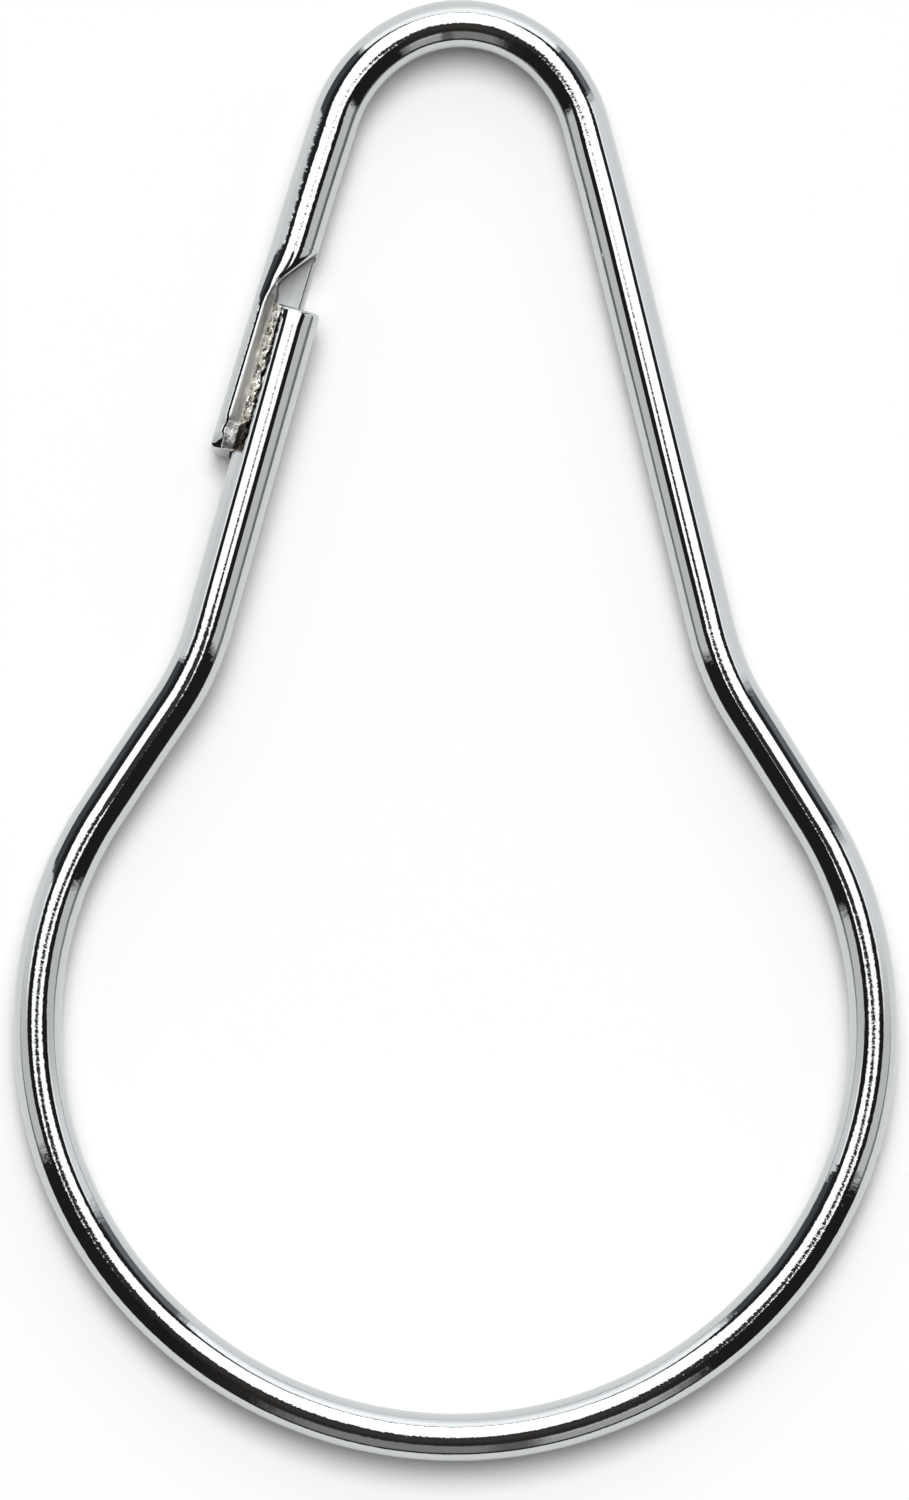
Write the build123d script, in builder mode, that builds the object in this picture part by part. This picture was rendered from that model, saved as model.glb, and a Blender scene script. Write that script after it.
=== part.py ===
from build123d import *

import os
from math import acos, atan2, cos, degrees, hypot, radians, sin, sqrt, tan

# A pear-shaped shower curtain ring: one length of steel wire, bent round forming pins and plated.
# One end of the wire is coined to a catch, and the other end springs into it to close the ring.
# The ring lies flat. The origin is the centre of the wide bow, on the wire's mid-plane, +Y runs to
# the narrow bow, and +Z is up, out of the open side of the catch.

# Driving dimensions, in millimetres and degrees. The radius of a bend is to the middle of the wire,
# and a lean is the angle in plan between a straight run and the Y axis.
wire_diameter = 3.0

wide_bow_radius = 26.15
flank_radius = 23.05
flank_run = 7.9
shoulder_radius = 17.6
narrow_bow_radius = 8.24
narrow_bow_shift = 0.29
bow_spacing = 53.84

fixed_leg_lean = 13.78
closing_leg_lean = 15.6
catch_leg_lean = 16.74
catch_leg_length = 21.95

clasp_overlap = 9.95
clasp_offset = 1.25
seat_thickness = 0.55
seat_clearance = 0.08
seat_lead = 1.25
seat_end_angle = 37.4
seat_corner_radius = 1.0
seat_root_radius = 0.3
flare_height = 0.63
flare_angle = 58.0
catch_end_bevel = 14.5
tip_edge_radius = 0.3
rise_bend_radius = 60.0

# Sides of the ring: the fixed leg is on +X, the catch and the closing leg are on -X.
FIXED = 1
CLASP = -1

wire_radius = wire_diameter / 2
up = Vector(0, 0, 1)


def outward(side, lean):
    """The direction out of the ring, square to a run."""
    return Vector(side * cos(radians(lean)), sin(radians(lean)))


def upward(side, lean):
    """The direction along a run, towards the narrow bow."""
    return Vector(-side * sin(radians(lean)), cos(radians(lean)))


def flank_centre(side):
    """The centre of the bend by which the wide bow closes in above its middle."""
    return Vector(side * (wide_bow_radius - flank_radius), 0)


def shoulder_turn(side, leg_point, leg_lean):
    """The angle that the shoulder turns so that leg, shoulder, flank run and wide bow all touch."""
    bends = flank_radius + shoulder_radius
    leg_reach = (leg_point - flank_centre(side)).dot(outward(side, leg_lean))
    spread = acos((leg_reach + shoulder_radius) / hypot(bends, flank_run))
    return degrees(spread - atan2(flank_run, bends))


def shoulder_top(side, leg_lean, flank_lean):
    """Where the leg ends and its shoulder bend begins."""
    flank_foot = flank_centre(side) + outward(side, flank_lean) * flank_radius
    shoulder_foot = flank_foot + upward(side, flank_lean) * flank_run
    shoulder_centre = shoulder_foot + outward(side, flank_lean) * shoulder_radius
    return shoulder_centre - outward(side, leg_lean) * shoulder_radius


# Plan of the two ends: the catch leg touches the narrow bow, and the closing leg's tip lies beside it,
# further into the ring.
narrow_bow_centre = Vector(narrow_bow_shift, bow_spacing)
fixed_leg_top = narrow_bow_centre + outward(FIXED, fixed_leg_lean) * narrow_bow_radius
catch_leg_top = narrow_bow_centre + outward(CLASP, catch_leg_lean) * narrow_bow_radius
catch_leg_up = upward(CLASP, catch_leg_lean)
catch_end = catch_leg_top - catch_leg_up * catch_leg_length
closing_tip = catch_end + catch_leg_up * clasp_overlap - outward(CLASP, catch_leg_lean) * clasp_offset

# The wire from the narrow bow round to the clasp side of the wide bow, all in the flat of the ring.
fixed_turn = shoulder_turn(FIXED, fixed_leg_top, fixed_leg_lean)
fixed_flank_lean = fixed_leg_lean + fixed_turn
closing_turn = shoulder_turn(CLASP, closing_tip, closing_leg_lean)
closing_flank_lean = closing_leg_lean + closing_turn

with BuildLine() as flat_run:
    narrow_bow = JernArc(
        catch_leg_top, catch_leg_up, narrow_bow_radius, catch_leg_lean + fixed_leg_lean - 180
    )
    fixed_leg = Line(narrow_bow @ 1, shoulder_top(FIXED, fixed_leg_lean, fixed_flank_lean))
    fixed_shoulder = JernArc(fixed_leg @ 1, fixed_leg % 1, shoulder_radius, fixed_turn)
    fixed_flank = Line(fixed_shoulder @ 1, fixed_shoulder @ 1 + fixed_shoulder % 1 * flank_run)
    fixed_bend = JernArc(fixed_flank @ 1, fixed_flank % 1, flank_radius, -fixed_flank_lean)
    wide_bow = JernArc(fixed_bend @ 1, fixed_bend % 1, wide_bow_radius, -180)
    closing_bend = JernArc(wide_bow @ 1, wide_bow % 1, flank_radius, -closing_flank_lean)

# The closing leg rides up over the floor of the catch, so its flank, shoulder and leg lie in a plane
# that rises from the flat of the ring through a slight bend.
closing_leg_length = (closing_tip - shoulder_top(CLASP, closing_leg_lean, closing_flank_lean)).length
shoulder_reach = shoulder_radius * sin(radians(closing_turn))
reach = flank_run + shoulder_reach + closing_leg_length * cos(radians(closing_turn))
tip_height = seat_thickness + seat_clearance
rise = (reach - sqrt(reach**2 - 2 * rise_bend_radius * tip_height)) / rise_bend_radius
bend_start = closing_bend @ 1
bend_heading = closing_bend % 1

with BuildLine(Plane(bend_start, bend_heading, bend_heading.cross(up))):
    rise_bend = JernArc((0, 0), (1, 0), rise_bend_radius, degrees(rise))

rising_heading = rise_bend % 1
rising_plane = Plane(rise_bend @ 1, rising_heading, rising_heading.cross(up.cross(rising_heading)))

with BuildLine(rising_plane) as rising_run:
    closing_flank = Line((0, 0), (flank_run - rise_bend_radius * sin(rise), 0))
    closing_shoulder = JernArc(closing_flank @ 1, closing_flank % 1, shoulder_radius, closing_turn)
    closing_leg = Line(
        closing_shoulder @ 1, closing_shoulder @ 1 + closing_shoulder % 1 * closing_leg_length
    )

# The die that coins the catch, in the closing leg's own frame: X along the leg to its tip, Y out of
# the ring and Z up. Its floor and wall stand clear of the leg, its wall flares at the top to form the
# crest of the ridge, and its end slants across the wire.
leg_plane = Plane(closing_leg @ 1, closing_leg % 1, rising_plane.z_dir)
wall_place = wire_radius + seat_clearance
die_width = 2 * wire_diameter
die_start = -clasp_overlap - wire_diameter
seat_root = leg_plane.from_local_coords((-clasp_overlap / 2, wall_place, -wall_place))

with BuildPart() as die:
    with BuildSketch(leg_plane.offset(-wall_place)) as die_outline:
        with BuildLine():
            wall = Line((die_start, wall_place), (seat_lead, wall_place))
            slant = PolarLine(wall @ 1, die_width, -seat_end_angle)
            inner_corner = ((slant @ 1).X, wall_place - die_width)
            Polyline(slant @ 1, inner_corner, (die_start, wall_place - die_width), wall @ 0)
        make_face()
        fillet(die_outline.vertices().sort_by_distance(wall @ 1)[0], seat_corner_radius)
    extrude(amount=wall_place + flare_height)
    fillet(die.edges().sort_by_distance(seat_root)[0], seat_root_radius)
    die_top = die.faces().sort_by(Axis(leg_plane.origin, leg_plane.z_dir))[-1]
    extrude(die_top, amount=wire_diameter, taper=-flare_angle)

# The wire: the catch leg is made long, cut off at a bevel and coined, and then the rest of the wire
# runs on from its top, round the ring to the closing leg's tip.
catch_end_plane = Plane(catch_end, -catch_leg_up, up.cross(catch_leg_up))
bevel_slope = tan(radians(catch_end_bevel))

with BuildPart() as ring:
    with BuildSketch(Plane(catch_leg_top, z_dir=-catch_leg_up)):
        Circle(wire_radius)
    extrude(amount=catch_leg_length + wire_radius)
    with BuildSketch(catch_end_plane):
        Polygon(
            (bevel_slope * wire_radius, -wire_diameter),
            (wire_diameter, -wire_diameter),
            (wire_diameter, wire_diameter),
            (-bevel_slope * 3 * wire_radius, wire_diameter),
            align=None,
        )
    extrude(amount=wire_diameter, both=True, mode=Mode.SUBTRACT)
    add(die.part, mode=Mode.SUBTRACT)
    with BuildSketch(Plane(catch_leg_top, z_dir=catch_leg_up)):
        Circle(wire_radius)
    sweep(path=flat_run.edges() + rise_bend.edges() + rising_run.edges())
    tip_face = ring.faces().sort_by_distance(leg_plane.origin)[0]
    fillet(tip_face.edges(), tip_edge_radius)

os.makedirs("parts", exist_ok=True)
ring.part.label = "curtain_ring"
export_step(ring.part, "parts/curtain_ring.step")
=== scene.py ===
import math

import bpy
import numpy as np
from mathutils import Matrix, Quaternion, Vector, noise


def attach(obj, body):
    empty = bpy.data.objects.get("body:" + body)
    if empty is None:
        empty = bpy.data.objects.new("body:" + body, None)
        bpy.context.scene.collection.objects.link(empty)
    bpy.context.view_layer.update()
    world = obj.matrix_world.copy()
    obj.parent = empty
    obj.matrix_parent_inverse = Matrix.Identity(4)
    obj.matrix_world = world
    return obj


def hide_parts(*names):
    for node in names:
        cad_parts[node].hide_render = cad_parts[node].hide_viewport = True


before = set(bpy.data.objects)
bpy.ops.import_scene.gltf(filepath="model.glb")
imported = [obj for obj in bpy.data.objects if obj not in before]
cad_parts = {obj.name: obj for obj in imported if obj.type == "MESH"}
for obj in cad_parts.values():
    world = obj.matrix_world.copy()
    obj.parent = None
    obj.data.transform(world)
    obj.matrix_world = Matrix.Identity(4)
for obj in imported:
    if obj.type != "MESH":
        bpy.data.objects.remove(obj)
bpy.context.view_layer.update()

# The ring is one length of drawn steel wire, bent round forming pins to a pear shape and plated bright.
# Its catch end is struck in a press, to a thin floor with a ridge along its outer side, and its other
# end springs in beside the ridge to close the ring.

mm = 0.001
wire_radius = 1.5 * mm
wide_bow_radius = 26.15 * mm
flank_radius = 23.05 * mm
flank_run = 7.9 * mm
shoulder_radius = 17.6 * mm
narrow_bow_radius = 8.24 * mm
narrow_bow_centre = Vector((0.29, 53.84, 0)) * mm
fixed_lean = math.radians(13.78)
closing_lean = math.radians(15.6)
catch_lean = math.radians(16.74)
catch_length = 21.95 * mm
clasp_overlap = 9.95 * mm
clasp_offset = 1.25 * mm
tip_height = 0.63 * mm
tip_rounding = 0.3 * mm
rise_radius = 60 * mm
wire_sides = 96

FIXED = 1
CLASP = -1
up = Vector((0, 0, 1))


def outward(side, lean):
    """The direction out of the ring, square to a run of wire."""
    return Vector((side * math.cos(lean), math.sin(lean), 0))


def upward(side, lean):
    """The direction along a run of wire, towards the narrow bow."""
    return Vector((-side * math.sin(lean), math.cos(lean), 0))


def flank_centre(side):
    """The centre of the bend by which the wide bow closes in."""
    return Vector((side * (wide_bow_radius - flank_radius), 0, 0))


def shoulder_turn(side, leg_point, lean):
    """The angle of the shoulder bend between a leg and its flank."""
    bends = flank_radius + shoulder_radius
    reach = (leg_point - flank_centre(side)).dot(outward(side, lean))
    spread = math.acos((reach + shoulder_radius) / math.hypot(bends, flank_run))
    return spread - math.atan2(flank_run, bends)


def shoulder_centre(side, flank_lean):
    """The pin that a shoulder is bent round."""
    bends = flank_radius + shoulder_radius
    return flank_centre(side) + outward(side, flank_lean) * bends + upward(side, flank_lean) * flank_run


catch_up = upward(CLASP, catch_lean)
catch_out = outward(CLASP, catch_lean)
catch_top = narrow_bow_centre + catch_out * narrow_bow_radius
catch_end = catch_top - catch_up * catch_length
tip = catch_end + catch_up * clasp_overlap - catch_out * clasp_offset
fixed_top = narrow_bow_centre + outward(FIXED, fixed_lean) * narrow_bow_radius
fixed_turn = shoulder_turn(FIXED, fixed_top, fixed_lean)
fixed_flank_lean = fixed_lean + fixed_turn
fixed_pin = shoulder_centre(FIXED, fixed_flank_lean)
closing_turn = shoulder_turn(CLASP, tip, closing_lean)
closing_flank_lean = closing_lean + closing_turn

# Each station of the wire keeps how far along it stands, its middle, and its outward and top directions.
stations = [(0.0, catch_top, catch_out, up)]


def straight_run(offset, steps):
    """Draws the open end of the wire on in a straight line."""
    for step in range(steps):
        bpy.ops.mesh.extrude_region_move(TRANSFORM_OT_translate={"value": offset / steps})
        along, middle, out, top = stations[-1]
        stations.append((along + offset.length / steps, middle + offset / steps, out, top))


def bent_run(pin, axis, angle, steps):
    """Bends the open end of the wire round a pin. Spin turns the other way from a right-hand turn."""
    bpy.ops.mesh.spin(steps=steps, angle=-angle, center=pin, axis=axis)
    along, middle, out, top = stations[-1]
    for step in range(1, steps + 1):
        turn = Quaternion(axis, angle * step / steps)
        reached = along + angle * step / steps * (middle - pin).length
        stations.append((reached, pin + turn @ (middle - pin), turn @ out, turn @ top))


bpy.ops.object.select_all(action="DESELECT")
bpy.ops.mesh.primitive_circle_add(
    vertices=wire_sides, radius=wire_radius, location=catch_top, rotation=(math.pi / 2, 0, -catch_lean))
ring = bpy.context.object
ring.name = "plated_ring"
bpy.ops.object.transform_apply(location=True, rotation=True, scale=True)
bpy.ops.object.mode_set(mode="EDIT")
bpy.ops.mesh.select_all(action="SELECT")

# From the top of the catch leg the wire runs round the narrow bow, down the fixed leg and round the
# wide bow.
bent_run(narrow_bow_centre, -up, math.pi - catch_lean - fixed_lean, steps=90)
straight_run(fixed_pin - outward(FIXED, fixed_lean) * shoulder_radius - fixed_top, steps=20)
bent_run(fixed_pin, up, fixed_turn, steps=24)
straight_run(-upward(FIXED, fixed_flank_lean) * flank_run, steps=8)
bent_run(flank_centre(FIXED), -up, fixed_flank_lean, steps=30)
bent_run(Vector((0, 0, 0)), -up, math.pi, steps=160)
bent_run(flank_centre(CLASP), -up, closing_flank_lean, steps=30)

# The closing side rises out of the flat, so that its leg rides over the floor of the catch.
closing_pin = shoulder_centre(CLASP, closing_flank_lean)
leg_length = (tip - closing_pin + outward(CLASP, closing_lean) * shoulder_radius).length
reach = flank_run + shoulder_radius * math.sin(closing_turn) + leg_length * math.cos(closing_turn)
rise = (reach - math.sqrt(reach ** 2 - 2 * rise_radius * tip_height)) / rise_radius
heading = upward(CLASP, closing_flank_lean)
rise_start = stations[-1][0]
bent_run(stations[-1][1] + up * rise_radius, heading.cross(up), rise, steps=6)
out, top = stations[-1][2:]
straight_run(out.cross(top) * (flank_run - rise_radius * math.sin(rise)), steps=8)
middle, out, top = stations[-1][1:]
bent_run(middle + out * shoulder_radius, top, closing_turn, steps=24)
leg_start, middle, out, top = stations[-1]
straight_run(out.cross(top) * leg_length, steps=20)
tip_along, tip_middle = stations[-1][:2]
bpy.ops.mesh.edge_face_add()
bpy.ops.mesh.select_all(action="DESELECT")
bpy.ops.mesh.select_mode(type="VERT")
bpy.ops.object.mode_set(mode="OBJECT")

# The catch leg is drawn down from the first station, in steps fine enough for the press to shape.
catch_steps = 230
catch_step = catch_length / catch_steps
first_catch_vertex = len(ring.data.vertices)
for vertex in ring.data.vertices[:wire_sides]:
    vertex.select = True
bpy.ops.object.mode_set(mode="EDIT")
bpy.ops.mesh.extrude_repeat(steps=catch_steps, offset=-catch_up * catch_step)
bpy.ops.mesh.edge_face_add()
bpy.ops.mesh.select_all(action="DESELECT")
bpy.ops.object.mode_set(mode="OBJECT")

# The press works in a frame on the tip of the closing leg: across into the ring, and down along the leg.
# Round the section run the floor, the wall, the crust in the crevice, the slope, and the outer side.
# The section's own sizes are in millimetres.
across = -outward(CLASP, closing_lean)
down = -upward(CLASP, closing_lean)
floor_sides, wall_sides, crust_sides, slope_sides = 12, 12, 12, 10
struck_sides = floor_sides + wall_sides + crust_sides + slope_sides
outer_sides = wire_sides - struck_sides
sides_below_level = 22
side_turn = 2 * math.pi / wire_sides
first_turn = -sides_below_level * side_turn
wire = 1.5
leg_clear = 1.58
leg_fall = 0.006
strike_start = -3.8
strike_taper = 2.6
wall_place = -1.5
web_rounding = 0.3
step_rounding = 0.3
ridge_rounding = 0.03
ridge_radius = 0.78
ridge_height = 0.6
ridge_flat = 0.17
flat_turn = math.radians(112)
crest_end = -2.24
facet_start = 7.8
facet_drop = 0.1
end_rounding = 0.3
end_steps = 10
end_shear = 0.27
end_heart = 0.6
end_reach = 1.1
chamfer_height = 1.31
chamfer_length = 0.75
chamfer_fall = 0.5
chamfer_lean = 0.45


def laid_out(points, count):
    """Spreads a number of points evenly along a bent line, leaving out its last point."""
    points = np.array(points)
    lengths = np.concatenate([[0], np.cumsum(np.linalg.norm(np.diff(points, axis=0), axis=1))])
    marks = np.linspace(0, lengths[-1], count + 1)[:-1]
    return np.stack([np.interp(marks, lengths, line) for line in points.T], axis=1)


def rounded(start, corner, end):
    """A curve from start to end that bends at a corner."""
    steps = np.linspace(0, 1, 9)[:, None]
    start, corner, end = np.array(start), np.array(corner), np.array(end)
    return list((1 - steps) ** 2 * start + 2 * steps * (1 - steps) * corner + steps ** 2 * end)


def arc(middle, height, width, radius, start, end):
    """Points round part of a circle, or of one that is spread to another width."""
    turns = np.linspace(start, end, 25)
    return np.stack([middle + width * np.cos(turns), height + radius * np.sin(turns)], axis=1)


def eased(value, low, high):
    """Goes smoothly from 0 to 1 as a value goes from low to high."""
    part = min(max((value - low) / (high - low), 0), 1)
    return part * part * (3 - 2 * part)


def plain_section(below, middle):
    """The round section, with the sides that the press will strike drawn together where it begins."""
    even = first_turn + np.arange(wire_sides) * side_turn
    drawn = np.concatenate([np.linspace(-0.014, 0.014, struck_sides),
                            np.linspace(0.016, 2 * math.pi - 0.016, outer_sides)])
    turns = even + (drawn - even) * eased(below, strike_start - strike_taper, strike_start - 0.1)
    return np.stack([middle + wire * np.cos(turns), wire * np.sin(turns)], axis=1)


def struck_section(below, middle):
    """The struck section at a place below the tip: across and height, going round from the floor's edge."""
    leg_height = tip_height / mm - leg_fall * below
    edge_place = np.interp(below, [strike_start, -1.6, -1.15, -0.7, -0.2, 0.3, 7.4, 8.3],
                           [middle + wire, -1.38, -1.68, -1.88, -2.0, -2.06, -2.2, crest_end])
    cut = math.sqrt(max(wire ** 2 - (edge_place - middle) ** 2, 0.0009))
    size = min(cut, 1)
    floor_height = max(leg_height - leg_clear, -0.97 * cut)
    ridge = eased(below, -1.7, -0.4)
    crust = eased(below, 0.0, 0.14)
    facet = eased(below, 7.5, 8.4)

    # The outer side: from the crest round the left to the underside and the edge of the floor. Along the
    # ridge its upper part is drawn in to a narrower bend, with a small flat beside the crest.
    narrowing = eased(below, -3.6, 0.6)
    bar_radius = wire - (wire - ridge_radius) * narrowing
    bar_height = (ridge_height - facet_drop * facet) * narrowing
    bar_middle = middle - wire + bar_radius
    flat = ridge_flat * ridge * np.array((math.sin(flat_turn), -math.cos(flat_turn)))
    crest_turn = math.acos(min((edge_place - bar_middle - flat[0]) / bar_radius, 1))
    crest = np.array((edge_place, bar_height + flat[1] + bar_radius * math.sin(crest_turn)))
    plain_rounding = step_rounding * size
    crest_round = (plain_rounding + (ridge_rounding - plain_rounding) * ridge) / bar_radius
    bend_start = min(crest_turn + crest_round, flat_turn)
    crest_side = arc(bar_middle, bar_height, bar_radius, bar_radius, bend_start, flat_turn) + flat
    left_side = arc(bar_middle, bar_height, bar_radius, bar_radius, flat_turn, math.pi)
    upper = np.concatenate([crest_side, left_side])
    lower = arc(middle, 0, wire, wire, math.pi, 1.5 * math.pi)
    web_edge = middle + wire
    edge_round = min(web_rounding, (web_edge - edge_place) / 2)
    web_turn = math.asin(max(floor_height - 0.9 * edge_round, -wire) / wire)
    under = arc(middle, 0, wire / math.cos(web_turn), wire, 1.5 * math.pi, 2 * math.pi + web_turn)
    floor_end = (web_edge - edge_round, floor_height)
    corner = rounded(under[-1], (web_edge, floor_height), floor_end)
    outer = laid_out(np.concatenate([upper, lower[1:], under[1:], corner[1:]]), outer_sides)

    # The struck side: floor, wall, crust and slope, up to the crest.
    foot_round = min(0.06 + 0.1 * ridge, (web_edge - edge_place) / 3)
    step_foot = np.array((edge_place + 0.03 * size, floor_height))
    step_top = np.array((edge_place + 0.01 * size, crest[1] - 0.16 * size))
    slope_end = np.array((wall_place, crest[1] - 0.2 + 0.1 * facet))
    wall_foot = step_foot + (np.array((wall_place, floor_height)) - step_foot) * ridge
    wall_top = step_top + (slope_end - step_top) * ridge
    foot_bend = rounded(wall_foot + (foot_round, 0), wall_foot, wall_foot + (wall_top - wall_foot) * 0.2)
    plain_wall = laid_out(foot_bend + [wall_top], wall_sides)
    ragged = noise.noise(Vector((below * 1.6, 7.1, 0))) * 0.16
    ragged += noise.noise(Vector((below * 6, 3.3, 0))) * 0.07
    lip = np.array((-0.97 + ragged, leg_height + 1.3))
    lipped_wall = laid_out([(-1.25, floor_height), (-1.5, floor_height + 0.12), (-1.58, floor_height + 0.4),
                            (-1.58, leg_height + 0.2), (-1.45, leg_height + 0.66),
                            (-1.25, leg_height + 0.98), lip], wall_sides)
    wall = plain_wall + (lipped_wall - plain_wall) * crust
    plain_crust = laid_out([wall_top, wall_top + (-0.01, 0.012)], crust_sides)
    rough_crust = laid_out([lip, lip + (-0.03, 0.1), lip + (-0.14, 0.06), wall_top + (0.2, 0.2), wall_top],
                           crust_sides)
    for number in range(1, crust_sides):
        grain = noise.noise(Vector((below * 3.5, number * 0.5, 1.7))) * 0.1
        grain += noise.noise(Vector((below * 9, number * 0.9, 4.2))) * 0.07
        rough_crust[number] += np.array((-0.6, 0.8)) * grain * (1 - 0.6 * facet)
    crust_face = plain_crust + (rough_crust - plain_crust) * crust
    step_crest = laid_out(rounded(step_top, crest, upper[0]), slope_sides)
    ridge_crest = laid_out([slope_end, slope_end + (crest - slope_end) * 0.9] + rounded(
        slope_end + (crest - slope_end) * 0.94, crest, upper[0]), slope_sides)
    slope = step_crest + (ridge_crest - step_crest) * ridge
    floor_face = laid_out([floor_end, wall[0]], floor_sides)
    return np.concatenate([floor_face, wall, crust_face, slope, outer])


def struck_finish(below):
    """How far each side of the section is dulled by the press, covered by the crust, and worn pale."""
    slope_part = eased(below, -1.6, -0.6)
    facet_part = eased(below, facet_start, facet_start + 0.25)
    dull = np.concatenate([np.ones(struck_sides - slope_sides), np.full(slope_sides, slope_part),
                           np.zeros(outer_sides)]) * eased(below, strike_start, -3.5)
    mottled = 0.3 * facet_part
    crust = np.concatenate([np.zeros(floor_sides), np.linspace(0, 1, wall_sides), np.ones(crust_sides),
                            np.full(slope_sides, mottled), np.zeros(outer_sides)])
    crust *= eased(below, -0.05, 0.1)
    worn = np.concatenate([np.zeros(struck_sides - slope_sides), np.ones(slope_sides),
                           np.zeros(outer_sides)]) * slope_part * (1 - facet_part)
    return np.stack([dull, crust, worn], axis=1)


# Each step of the catch leg takes its own section. The end is rounded off, cut at a slant, and chamfered
# at its outer corner.
places = np.empty(len(ring.data.vertices) * 3)
ring.data.vertices.foreach_get("co", places)
places = places.reshape(-1, 3)
along_wire = np.zeros((len(places), 3))
finish = np.zeros((len(places), 3))
end_below = (catch_end - tip).dot(down) / mm
for step in range(catch_steps):
    start = first_catch_vertex + step * wire_sides
    block = slice(start, start + wire_sides)
    middle = catch_top - catch_up * catch_step * (step + 1)
    offset = middle - tip
    below = offset.dot(down) / mm
    middle_across = offset.dot(across) / mm
    end_turn = max(step + 1 + end_steps - catch_steps, 0) / end_steps * math.pi / 2
    if end_turn > 0:
        below = end_below - end_rounding * (1 - math.sin(end_turn))
    spread = places[block] - np.array(middle)
    turn = np.arctan2(spread[:, 2], spread @ -np.array(catch_out))
    order = np.rint((turn - first_turn) / side_turn).astype(int) % wire_sides
    section = (struck_section if below > strike_start else plain_section)(below, middle_across)[order]
    heart = np.array((middle_across - end_heart, 0))
    section = heart + (section - heart) * (1 - end_rounding * (1 - math.cos(end_turn)) / end_reach)
    chamfer = (chamfer_height - chamfer_fall * (below - end_below + chamfer_length)
               + chamfer_lean * (section[:, 0] - crest_end))
    section[:, 1] = np.minimum(section[:, 1], chamfer)
    finish[block] = struck_finish(below)[order]
    shear = end_shear * eased(below, 8.0, 9.5)
    drop = below - shear * section[:, 1]
    along_wire[block] = np.stack([np.full(wire_sides, -(step + 1) * catch_step),
                                  (middle_across - section[:, 0]) * mm, section[:, 1] * mm], axis=1)
    places[block] = (np.array(tip) + np.outer(section[:, 0] * mm, np.array(across))
                     + np.outer(drop * mm, np.array(down)) + np.outer(section[:, 1] * mm, np.array(up)))

# The bends wander a little from true arcs: places along the wire from the catch's top, and how far out.
# The closing leg is lifted at its shoulder, so that it lies nearly level.
wander_along = np.array([-9, -4, 0, 3, 6.5, 10.5, 15, 18.5, 21, 26,
                         62, 68, 74, 78, 83, 90, 96, 104, 112, 133,
                         141, 147, 153, 158, 163, 168, 174, 180, 210]) * mm
wander_out = np.array([0, 0, -0.1, -0.14, -0.02, 0.17, 0.06, -0.11, -0.13, 0,
                       0.01, -0.05, -0.1, -0.07, 0.07, 0.16, 0.13, 0.04, 0, 0.01,
                       0.04, 0.1, 0.13, 0.06, -0.05, -0.12, -0.08, 0, 0]) * mm
shoulder_lift = 0.75 * leg_length * math.sin(rise)
grid = np.arange(-30, 260) * mm
bell = np.exp(-np.square(np.arange(-5, 6) / 1.5) / 2)


def smoothed(marks, values):
    """Values at marks along the wire, drawn over the even grid and smoothed."""
    return np.convolve(np.interp(grid, marks, values), bell / bell.sum(), mode="same")


wander_grid = smoothed(wander_along, wander_out)
lift_grid = smoothed([rise_start, leg_start, tip_along], [0, shoulder_lift, 0])
bent = np.zeros(len(stations))
for number, (along, middle, out, top) in enumerate(stations):
    block = slice(number * wire_sides, (number + 1) * wire_sides)
    spread = places[block] - np.array(middle)
    along_wire[block] = np.stack([np.full(wire_sides, along), spread @ np.array(out),
                                  spread @ np.array(top)], axis=1)
    places[block] += np.array(out) * np.interp(along, grid, wander_grid)
    places[block] += np.array(top) * np.interp(along, grid, lift_grid)
    before, after = stations[max(number - 1, 0)], stations[min(number + 1, len(stations) - 1)]
    bent[number] = (before[2] - after[2]).length > 0.001
for step in range(catch_steps):
    start = first_catch_vertex + step * wire_sides
    block = slice(start, start + wire_sides)
    places[block] += np.array(catch_out) * np.interp(-(step + 1) * catch_step, grid, wander_grid)
ring.data.vertices.foreach_set("co", places.ravel())
bent_grid = smoothed([station[0] for station in stations], bent)
in_bends = np.interp(along_wire[:, 0], grid, bent_grid)

# The material reads three things at each point: its place on the wire, the press's finish, and the bends.
wire_attribute = ring.data.attributes.new("along_wire", "FLOAT_VECTOR", "POINT")
wire_attribute.data.foreach_set("vector", along_wire.ravel())
finish_attribute = ring.data.attributes.new("struck_finish", "FLOAT_VECTOR", "POINT")
finish_attribute.data.foreach_set("vector", finish.ravel())
bend_attribute = ring.data.attributes.new("bent", "FLOAT", "POINT")
bend_attribute.data.foreach_set("value", in_bends)

# The cut tip of the closing leg is rounded off.
tip_face = min(ring.data.polygons, key=lambda face: (face.center - tip_middle).length)
tip_face.select = True
bpy.ops.object.mode_set(mode="EDIT")
bpy.ops.mesh.select_mode(type="EDGE")
bpy.ops.mesh.bevel(offset=tip_rounding, segments=5, affect="EDGES")
bpy.ops.mesh.select_all(action="SELECT")
bpy.ops.mesh.normals_make_consistent(inside=False)
bpy.ops.object.mode_set(mode="OBJECT")
bpy.ops.object.shade_smooth_by_angle(angle=math.radians(40))


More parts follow.
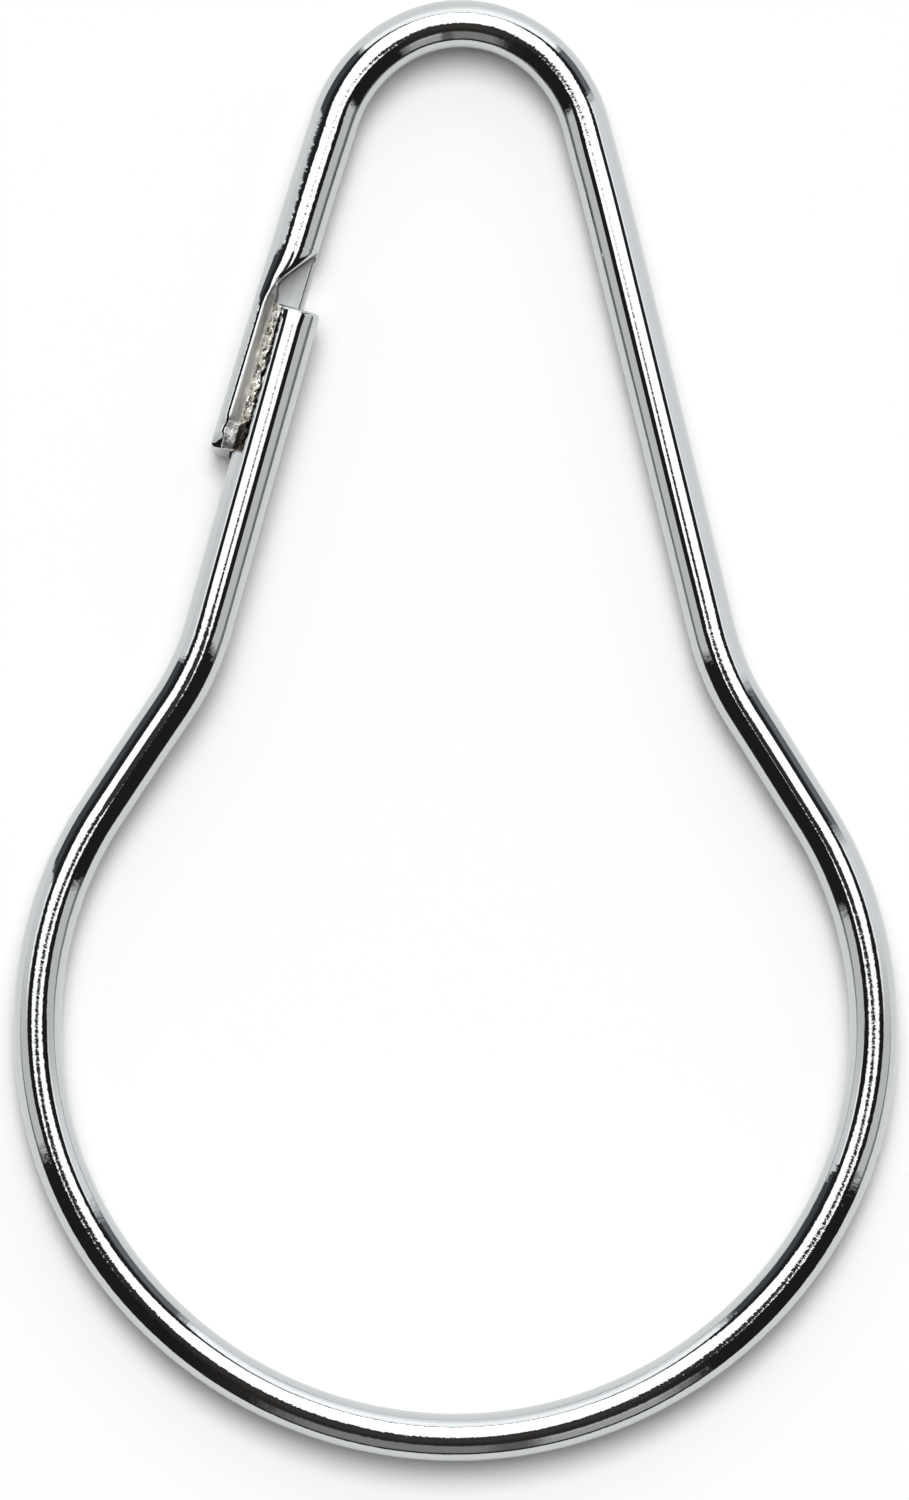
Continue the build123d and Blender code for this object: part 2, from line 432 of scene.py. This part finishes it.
class Shade:
    """A value in a node tree. Arithmetic on it adds Math nodes."""

    def __init__(self, tree, socket=None):
        self.tree = tree
        self.socket = socket

    def node(self, kind, settings, sockets, output=0):
        """Adds a node, sets it up, fills its sockets, and gives back one of its outputs."""
        node = self.tree.nodes.new(kind)
        for name, setting in settings.items():
            setattr(node, name, setting)
        for name, value in sockets.items():
            if isinstance(value, Shade):
                self.tree.links.new(value.socket, node.inputs[name])
            else:
                node.inputs[name].default_value = value
        return Shade(self.tree, node.outputs[output] if node.outputs else None)

    def math(self, operation, *values):
        """Adds a Math node."""
        return self.node("ShaderNodeMath", {"operation": operation}, dict(enumerate(values)))

    def __add__(self, other):
        return self.math("ADD", self, other)

    def __radd__(self, other):
        return self.math("ADD", other, self)

    def __sub__(self, other):
        return self.math("SUBTRACT", self, other)

    def __rsub__(self, other):
        return self.math("SUBTRACT", other, self)

    def __mul__(self, other):
        return self.math("MULTIPLY", self, other)

    def __rmul__(self, other):
        return self.math("MULTIPLY", other, self)

    def __truediv__(self, other):
        return self.math("DIVIDE", self, other)

    def __rtruediv__(self, other):
        return self.math("DIVIDE", other, self)

    def __abs__(self):
        return self.math("ABSOLUTE", self)


def new_material(name):
    """A material with an empty node tree."""
    material = bpy.data.materials.new(name)
    material.use_nodes = True
    material.node_tree.nodes.clear()
    return material, Shade(material.node_tree)


chrome, tree = new_material("bright_chrome_plate")
wire_place = tree.node("ShaderNodeAttribute", {"attribute_name": "along_wire"}, {}, "Vector")
struck = tree.node("ShaderNodeAttribute", {"attribute_name": "struck_finish"}, {}, "Vector")
in_bend = tree.node("ShaderNodeAttribute", {"attribute_name": "bent"}, {}, "Fac")
object_place = tree.node("ShaderNodeTexCoord", {}, {}, "Object")


def axis_of(vector, axis):
    """One part of a vector."""
    return tree.node("ShaderNodeSeparateXYZ", {}, {"Vector": vector}, axis)


def wire_noise(scales, detail, roughness):
    """Noise drawn out along the wire, with its own scale along, across and up."""
    stretched = tree.node("ShaderNodeVectorMath", {"operation": "MULTIPLY"}, {0: wire_place, 1: scales})
    return tree.node("ShaderNodeTexNoise", {},
                     {"Vector": stretched, "Scale": 1.0, "Detail": detail, "Roughness": roughness}, "Fac")


def even_noise(scale, detail, roughness):
    """Noise of the same scale all ways."""
    return tree.node("ShaderNodeTexNoise", {}, {
        "Vector": object_place, "Scale": scale, "Detail": detail, "Roughness": roughness}, "Fac")


def ramp(value, low, high):
    """A value brought from low and high to 0 and 1, and cut off there."""
    return tree.node("ShaderNodeMapRange", {"clamp": True},
                     {"Value": value, "From Min": low, "From Max": high, "To Min": 0.0, "To Max": 1.0})


def clasp_place(heading):
    """How far a point lies from the closing leg's tip along a heading, in millimetres."""
    reach = tree.node("ShaderNodeVectorMath", {"operation": "DOT_PRODUCT"},
                      {0: object_place, 1: heading}, "Value")
    return (reach - tip.dot(heading)) / mm


def blend(factor, first, second):
    """A colour between two others."""
    return tree.node("ShaderNodeMix", {"data_type": "RGBA"}, {"Factor": factor, 6: first, 7: second}, 2)


# Painted shade: dark colour lies in patches in the crevice beside the closing leg, and thickly at the end
# of the catch, standing in for the crevice's shadow and its dark reflection.
dull, crusted, worn = axis_of(struck, "X"), axis_of(struck, "Y"), axis_of(struck, "Z")
leg_across, leg_below = clasp_place(across), clasp_place(down)
crumbs = even_noise(2600.0, 3.0, 0.65)
lumps = even_noise(1100.0, 3.0, 0.6)
near_end = ramp(leg_below, 7.6, 8.0)
crevice_shade_edge = -1.02 + 0.5 * lumps - 0.1 * near_end
# The leg's painted crevice shade: a dark patch on the leg's upper flank, next to the catch's lip.
leg_crevice_shade = (ramp(leg_across + 0.5 * near_end, -1.08, -0.98) * ramp(crevice_shade_edge - leg_across, 0.0, 0.06)
            * ramp(leg_below, 0.0, 0.1) * ramp(9.7 - leg_below, 0.0, 0.2)
            * ramp(axis_of(object_place, "Z") / mm, 1.0, 1.2) * ramp(lumps + 0.25 * near_end, 0.38, 0.6))
# The catch end's painted crevice shade, on its pressed sides next to the leg.
end_crevice_shade = (dull * ramp(leg_below, 7.8, 8.1) * ramp(9.6 - leg_below, 0.0, 0.2)
            * ramp(leg_across + 0.3 * lumps, -1.3, -1.14))
painted_crevice_shade = tree.math("MAXIMUM", leg_crevice_shade, end_crevice_shade * 0.85)

# The plate ripples where the wire is bent, and is scuffed along its crown, clear of the struck ridge.
ripple_depth = 0.008
scuff_depth = 0.016
crumb_depth = 0.2
patches = ramp(wire_noise((90, 0, 0), 1.0, 0.5), 0.35, 0.65)
ripple = wire_noise((2300, 1800, 1800), 2.0, 0.5)
crown = ramp(axis_of(wire_place, "Z") / mm, 1.36, 1.47) * ramp(axis_of(wire_place, "X") / mm, -9.0, -8.0)
scuffs = wire_noise((4200, 3400, 3400), 2.0, 0.6)
wave = (ripple * (0.1 + in_bend * (0.3 + 0.6 * patches)) * ripple_depth
        + scuffs * crown * (0.12 + in_bend * (0.2 + 0.5 * patches)) * scuff_depth)
bump = tree.node("ShaderNodeBump", {}, {
    "Height": wave * (1 - crusted) + crumbs * crusted * crumb_depth, "Distance": mm, "Strength": 1.0})

# The colours: bright plate, the pressed floor and slope with their streaks, the crust, and the painted
# crevice shade.
bright_plate = (0.58, 0.602, 0.608, 1)
floor_dark, floor_pale = (0.30, 0.31, 0.315, 1), (0.42, 0.43, 0.435, 1)
slope_dark, slope_pale = (0.32, 0.31, 0.29, 1), (0.62, 0.61, 0.58, 1)
crust_dark, crust_pale = (0.06, 0.05, 0.035, 1), (1.0, 0.98, 0.92, 1)
# Painted shade colours: black and dark brown, standing in for the crevice's shadow and dark reflection.
painted_shade_black, painted_shade_brown = (0.016, 0.013, 0.01, 1), (0.12, 0.092, 0.06, 1)
bright_roughness = 0.022
dull_roughness = 0.34
streaks = wire_noise((300, 2600, 2600), 2.0, 0.5)
floor_colour = blend(streaks, floor_dark, floor_pale)
slope_colour = blend(ramp(streaks, 0.36, 0.64), slope_dark, slope_pale)
struck_colour = blend(worn, floor_colour, slope_colour)
crust_colour = blend(ramp(crumbs, 0.41, 0.51), crust_dark, crust_pale)
plate_colour = blend(dull, bright_plate, struck_colour)
# The painted crevice shade is mixed over the plate and crust, and it is made rough as well.
painted_shade_colour = blend(ramp(crumbs, 0.48, 0.66), painted_shade_black, painted_shade_brown)
colour = blend(painted_crevice_shade, blend(crusted, plate_colour, crust_colour), painted_shade_colour)
roughness = bright_roughness + dull_roughness * tree.math("MAXIMUM", dull, painted_crevice_shade)
plate = tree.node("ShaderNodeBsdfPrincipled", {}, {
    "Base Color": colour, "Metallic": 1.0, "Roughness": roughness, "Normal": bump})
tree.node("ShaderNodeOutputMaterial", {}, {"Surface": plate})
ring.data.materials.append(chrome)

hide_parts("curtain_ring")
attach(ring, "root")

# The floor is a wide sheet of white paper that the ring lies on. It is matt, and it takes the ring's
# soft shadow.
floor_size = 8
floor_level = -wire_radius
paper_white = (0.9, 0.9, 0.9, 1)
bpy.ops.object.select_all(action="DESELECT")
bpy.ops.mesh.primitive_plane_add(size=floor_size, location=(0, 0, floor_level))
floor = bpy.context.object
floor.name = "paper_floor"
bpy.ops.object.transform_apply(location=True, rotation=True, scale=True)
paper, tree = new_material("white_paper")
sheet = tree.node("ShaderNodeBsdfDiffuse", {}, {"Color": paper_white})
tree.node("ShaderNodeOutputMaterial", {}, {"Surface": sheet})
floor.data.materials.append(paper)

# The light is a large soft box overhead and to the far side, a white card on either side, a pale sweep
# beyond the far edge, and a dim room on the near side. The lens stands in the near edge of the soft box.
room = bpy.data.worlds.new("studio")
bpy.context.scene.world = room
room.use_nodes = True
room.node_tree.nodes.clear()
sky = Shade(room.node_tree)
sky_place = sky.node("ShaderNodeTexCoord", {}, {}, "Generated")


def edge(value, softness):
    """A soft edge: 0 below zero and 1 above it."""
    return sky.node("ShaderNodeMath", {"operation": "MULTIPLY_ADD", "use_clamp": True},
                    {0: value, 1: 1 / softness, 2: 0.5})


def heading_of(axis):
    """How far a direction leans to the east, to the north or up."""
    return sky.node("ShaderNodeSeparateXYZ", {}, {"Vector": sky_place}, axis)


def at_least(value, least):
    """The larger of a value and a number."""
    return sky.math("MAXIMUM", value, least)


east, north, high = heading_of("X"), heading_of("Y"), heading_of("Z")

# The soft box overhead has cut corners, and the lens stands in its near end. The box is brightest in the
# middle of its far part. Its sizes are for a box at a height of 1.
nearly_zero = 0.0001
box_half_width = 0.71
box_near_end = -0.24
box_far_end = 1.1
near_corner = 0.5
far_corner = 1.65
box_light = 1.75
hot_light = 15.2
above = at_least(high, nearly_zero)
box_across = abs(east) / above
box_along = north / above
soft_box = (edge(high - 0.2, 0.02) * edge(box_half_width - box_across, 0.02)
            * edge(box_far_end - box_along, 0.03) * edge(box_along - box_near_end, 0.03)
            * edge(near_corner - box_across + box_along, 0.02)
            * edge(far_corner - box_across - box_along, 0.03))
box_level = box_light + hot_light * edge(box_along - 0.56, 0.8) * edge(0.2 - box_across, 0.5)
lens_tilt = math.radians(-12)
lens_radius = math.radians(13)
lens_middle = north * math.sin(lens_tilt) + high * math.cos(lens_tilt) - 0.04 * east
lens = edge(lens_middle - math.cos(lens_radius), 0.004)

# A card on either side, brighter along its top, with a dark gap under its near part. The left card's far
# end leans, and the right card reaches nearer. Their sizes are for a card at a distance of 1.
card_far_end = 0.51
leaning_end = 0.337
side = at_least(abs(east), nearly_zero)
card_along = north / side
card_height = high / side
on_right = edge(east, 0.1)
card_reach = 0.34 + 0.09 * on_right
card_top = 0.845 - 0.55 * card_along + 1.2 * card_along * card_along
far_end = 0.876 - 12 * (card_along - leaning_end) + 4 * on_right
card_gap = edge(at_least(0.03 - 0.6 * card_along, 0.0) - card_height, 0.03)
card = (edge(card_along + card_reach, 0.06) * edge(card_far_end - card_along, 0.1)
        * edge(card_top - card_height, 0.03) * edge(far_end - card_height, 0.25) * (1 - 0.65 * card_gap))
card_level = (0.74 + 0.1 * edge(card_along - 0.05, 0.2)
              + 0.6 * edge(card_along - 0.05, 0.15) * edge(card_height - card_top + 0.16, 0.1))

# The sweep beyond the far edge, brighter above. Its sizes are for a sweep at a distance of 1.
sweep_half_width = 0.9
sweep_height = 0.78
far = at_least(north, nearly_zero)
sweep = (edge(north, 0.02) * edge(sweep_half_width - abs(east) / far, 0.12)
         * edge(sweep_height - high / far, 0.05))
sweep_level = 1.0 + 0.38 * edge(high / far - 0.28, 0.1)

# The dim room on the near side, paler to the right. Its sizes are for a wall at a distance of 1.
room_left_end, room_right_end = -0.42, 0.6
room_foot, room_top = 0.194, 1.07
near = at_least(0 - north, nearly_zero)
near_across = east / near
near_height = high / near
room_part = (edge(0 - north, 0.02) * edge(near_across - room_left_end, 0.2)
             * edge(room_right_end - near_across, 0.2) * edge(room_top - near_height, 0.2)
             * edge(near_height - room_foot, 0.08))
room_right = edge(near_across - 0.2, 0.05)
room_level = (0.26 + 0.2 * room_right + 0.18 * room_right * edge(near_height - 0.85, 0.15)
              - 0.14 * edge(near_across - 0.08, 0.06) * edge(0.19 - near_across, 0.06))

# What is left between them is nearly dark: warm on the near side and cool on the far side.
warm_dark, cool_dark = (1.06, 0.93, 0.85, 1), (0.95, 1, 1.08, 1)
lit = box_level * soft_box * (1 - lens) + card * card_level + sweep * sweep_level + room_part * room_level
dark = (0.019 + 0.02 * lens + 0.018 * edge(0.6 - abs(near_across), 0.3) * edge(0 - north, 0.1)
        + (0.005 + (0.06 + 0.12 * edge(east, 0.2)) * edge(0.5 - high, 0.12)) * edge(north - 0.15, 0.2))
tint = sky.node("ShaderNodeMix", {"data_type": "RGBA"}, {
    "Factor": edge(0.15 - north, 0.1), 6: cool_dark, 7: warm_dark}, 2)
dark_room = sky.node("ShaderNodeBackground", {}, {"Color": tint, "Strength": dark})
lit_room = sky.node("ShaderNodeBackground", {}, {"Color": (1, 1, 1, 1), "Strength": lit})
studio = sky.node("ShaderNodeAddShader", {}, {0: lit_room, 1: dark_room})
sky.node("ShaderNodeOutputWorld", {}, {"Surface": studio})

# The camera looks straight down on the ring from high above, with the narrow bow at the top of the
# picture. The picture is upright, and a long lens keeps the ring free of perspective.
frame_height = 93.75 * mm
frame_middle = Vector((-0.04, 16.8, 0)) * mm
lens_length = 281.5
sensor_size = 36
camera_height = frame_height * lens_length / sensor_size
bpy.ops.object.camera_add(location=frame_middle + up * camera_height, rotation=(0, 0, 0))
camera = bpy.context.object
camera.data.lens = lens_length
camera.data.clip_start = 0.01
camera.data.clip_end = 50
bpy.context.scene.camera = camera
bpy.context.scene.view_settings.view_transform = "Standard"
